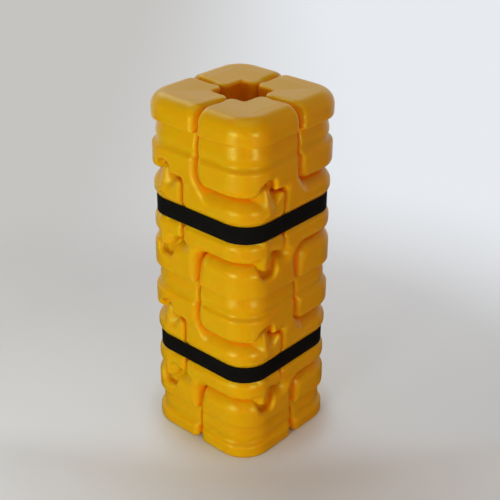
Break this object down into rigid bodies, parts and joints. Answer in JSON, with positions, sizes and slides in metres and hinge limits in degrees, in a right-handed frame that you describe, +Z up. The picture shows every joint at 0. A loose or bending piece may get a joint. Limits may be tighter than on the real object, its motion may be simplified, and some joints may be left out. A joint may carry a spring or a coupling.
{
  "type": "modular column protector",
  "caption": "Free-standing yellow plastic column protector: hollow corner modules with interlocking arms wrap a square post and are held by black hook-and-loop straps.",
  "frame": {"origin": "centre of the base, on the floor, in the middle of the post passage", "axes": "+Z up along the protected post; the faces are square to X and Y; the strap ends close on the +Y face"},
  "size_m": [0.234, 0.234, 0.61],
  "materials": {
    "yellow_polyethylene": "semi-gloss rotomoulded polyethylene, colour all through",
    "plug_polyethylene": "moulded push-in plug",
    "strap_webbing": "matt black woven webbing",
    "hook_tape": "black woven hook tape",
    "loop_tape": "black brushed loop tape"
  },
  "bodies": {
    "protector": {"corner_module_front": "yellow_polyethylene", "corner_module_right": "yellow_polyethylene", "corner_module_back": "yellow_polyethylene", "corner_module_left": "yellow_polyethylene", "vent_plug_front": "plug_polyethylene", "vent_plug_right": "plug_polyethylene", "vent_plug_back": "plug_polyethylene", "vent_plug_left": "plug_polyethylene", "strap_upper_band": "strap_webbing", "strap_upper_loop_pad": "loop_tape", "strap_lower_band": "strap_webbing", "strap_lower_loop_pad": "loop_tape"},
    "upper_tail": {"strap_upper_tail": "strap_webbing", "strap_upper_hook_pad": "hook_tape"},
    "lower_tail": {"strap_lower_tail": "strap_webbing", "strap_lower_hook_pad": "hook_tape"}
  },
  "joints": [
    {"name": "upper_tail_peel", "type": "hinge", "parent": "protector", "child": "upper_tail", "pos_m": [0.051, 0.1148, 0.424], "axis": [0, 0, -1], "range_deg": [0, 120]},
    {"name": "lower_tail_peel", "type": "hinge", "parent": "protector", "child": "lower_tail", "pos_m": [0.051, 0.1148, 0.1675], "axis": [0, 0, -1], "range_deg": [0, 120]}
  ]
}
